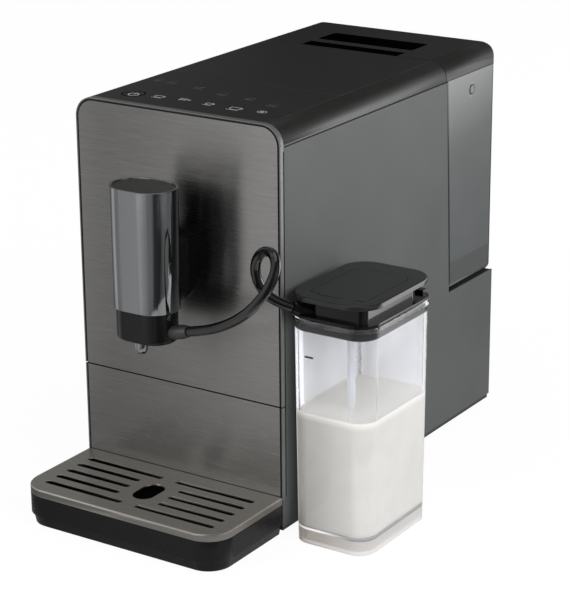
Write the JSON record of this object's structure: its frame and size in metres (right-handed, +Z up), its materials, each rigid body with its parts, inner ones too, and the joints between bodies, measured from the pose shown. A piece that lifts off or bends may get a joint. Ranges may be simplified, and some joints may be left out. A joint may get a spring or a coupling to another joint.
{
  "type": "bean to cup coffee machine",
  "caption": "Compact coffee machine that grinds beans and brews into a cup, with a drip tray drawer, a lift-out tank, a height-set spout and a milk container on a hose.",
  "frame": {"origin": "on the counter, under the middle of the object's box", "axes": "-Y is the front with the spout and drip tray, +X is the side with the milk container, +Z is up"},
  "size_m": [0.2548, 0.405, 0.3101],
  "materials": {
    "side_paint": "matt grey powder coat",
    "base_sheet": "black painted sheet",
    "chassis_sheet": "bare coated sheet",
    "brushed_front": "dark stainless, brushed along the width",
    "brushed_grid": "stainless, brushed",
    "bezel": "satin black moulding",
    "cover_satin": "satin dark grey moulding",
    "panel_dark": "dark panel with lit icons",
    "rear_plastic": "textured black moulding",
    "tray_black": "satin black moulding",
    "tank_smoke": "smoked clear moulding",
    "inner_plastic": "inner moulding",
    "light_nylon": "natural nylon",
    "bright_chrome": "polished dark chrome",
    "gloss_black": "gloss black moulding",
    "black_rubber": "black silicone",
    "clear_hose": "clear silicone tube",
    "clear_jar": "clear moulding",
    "board_green": "circuit board",
    "steel": "machined steel",
    "cast_aluminium": "as cast",
    "brass": "machined brass",
    "motor_can": "zinc coated can"
  },
  "bodies": {
    "machine": {"base_pan": "base_sheet", "rubber_feet": "black_rubber", "side_panel_left": "side_paint", "side_panel_right": "side_paint", "back_panel": "rear_plastic", "cover_screws": "steel", "inlet_socket": "rear_plastic", "chassis": "chassis_sheet", "upper_fascia": "bezel", "upper_front_plate": "brushed_front", "top_cover": "cover_satin", "control_panel": "panel_dark", "ui_board": "board_green", "main_board": "board_green", "bean_hopper": "inner_plastic", "grinder_housing": "inner_plastic", "ring_burr": "steel", "grinder_motor": "motor_can", "brew_frame": "inner_plastic", "brew_cylinder": "inner_plastic", "brew_motor": "motor_can", "pump": "motor_can", "pump_mounts": "black_rubber", "thermoblock": "cast_aluminium", "flow_meter": "light_nylon", "water_pipes": "clear_hose", "tank_bay": "rear_plastic", "spout_arm": "gloss_black", "milk_jar": "clear_jar", "milk_lid_base": "gloss_black", "jar_seal": "black_rubber", "milk_lid_plate": "gloss_black", "riser_tube": "clear_jar", "milk_hose": "black_rubber"},
    "spout": {"spout_shell": "bright_chrome", "spout_cap": "panel_dark", "spout_carrier": "inner_plastic", "spout_base": "gloss_black", "coffee_nozzle": "bright_chrome", "hose_connector": "black_rubber"},
    "drawer": {"drip_tray": "tray_black", "lower_fascia": "bezel", "lower_front_plate": "brushed_front", "grounds_container": "inner_plastic"},
    "cup_plate": {"cup_grid": "brushed_grid"},
    "bean_cover": {"bean_lid": "cover_satin", "bean_lid_seal": "black_rubber"},
    "knob": {"grind_knob": "gloss_black"},
    "tank": {"water_tank": "tank_smoke", "tank_valve": "inner_plastic"},
    "tank_cover": {"tank_lid": "cover_satin"},
    "button": {"power_button": "panel_dark"},
    "door": {"service_door": "side_paint"},
    "flap": {"milk_flap": "gloss_black"},
    "burr": {"cone_burr": "steel", "burr_gear": "light_nylon"},
    "burr_drive": {"grinder_pinion": "brass"},
    "piston": {"brew_piston": "light_nylon"},
    "spindle": {"brew_spindle": "light_nylon"},
    "spindle_drive": {"brew_pinion": "brass"}
  },
  "joints": [
    {"name": "spout_height", "type": "slide", "parent": "machine", "child": "spout", "axis": [0, 0, 1], "range_m": [-0.04, 0], "deforming": ["milk_hose"]},
    {"name": "drawer_slide", "type": "slide", "parent": "machine", "child": "drawer", "axis": [0, -1, 0], "range_m": [0, 0.2]},
    {"name": "cup_plate_lift", "type": "slide", "parent": "drawer", "child": "cup_plate", "axis": [0, 0, 1], "range_m": [0, 0.05]},
    {"name": "bean_cover_lift", "type": "slide", "parent": "machine", "child": "bean_cover", "axis": [0, 0, 1], "range_m": [0, 0.05]},
    {"name": "grind_setting", "type": "hinge", "parent": "machine", "child": "knob", "pos_m": [-0.0894, 0.0505, 0.303], "axis": [0, 0, 1], "range_deg": [0, 150]},
    {"name": "tank_lift", "type": "slide", "parent": "machine", "child": "tank", "axis": [0, 0, 1], "range_m": [0, 0.2]},
    {"name": "tank_cover_lift", "type": "slide", "parent": "tank", "child": "tank_cover", "axis": [0, 0, 1], "range_m": [0, 0.04]},
    {"name": "power_press", "type": "slide", "parent": "machine", "child": "button", "axis": [0, 0, 1], "range_m": [-0.001, 0], "stiffness_N_per_m": 1500},
    {"name": "door_pull", "type": "slide", "parent": "machine", "child": "door", "axis": [-1, 0, 0], "range_m": [0, 0.04]},
    {"name": "flap_hinge", "type": "hinge", "parent": "machine", "child": "flap", "pos_m": [0.0923, -0.1093, 0.189], "axis": [1, 0, 0], "range_deg": [0, 100]},
    {"name": "burr_spin", "type": "hinge", "parent": "machine", "child": "burr", "pos_m": [-0.0174, 0.0505, 0.196], "axis": [0, 0, 1], "continuous": true},
    {"name": "burr_drive_spin", "type": "hinge", "parent": "machine", "child": "burr_drive", "pos_m": [0.01085, 0.0505, 0.196], "axis": [0, 0, 1], "continuous": true},
    {"name": "spindle_turn", "type": "hinge", "parent": "machine", "child": "spindle", "pos_m": [-0.0854, 0.0505, 0.106], "axis": [0, 0, 1], "range_deg": [-450, 0]},
    {"name": "spindle_drive_turn", "type": "hinge", "parent": "machine", "child": "spindle_drive", "pos_m": [-0.0854, 0.02225, 0.106], "axis": [0, 0, 1], "range_deg": [0, 1125]},
    {"name": "piston_lift", "type": "slide", "parent": "machine", "child": "piston", "axis": [0, 0, 1], "range_m": [0, 0.025]}
  ],
  "couplings": [
    {"joint": "burr_drive_spin", "follows": "burr_spin", "ratio": -2.5},
    {"joint": "spindle_drive_turn", "follows": "spindle_turn", "ratio": -2.5},
    {"joint": "piston_lift", "follows": "spindle_turn", "m_per_rad": -0.003183}
  ]
}
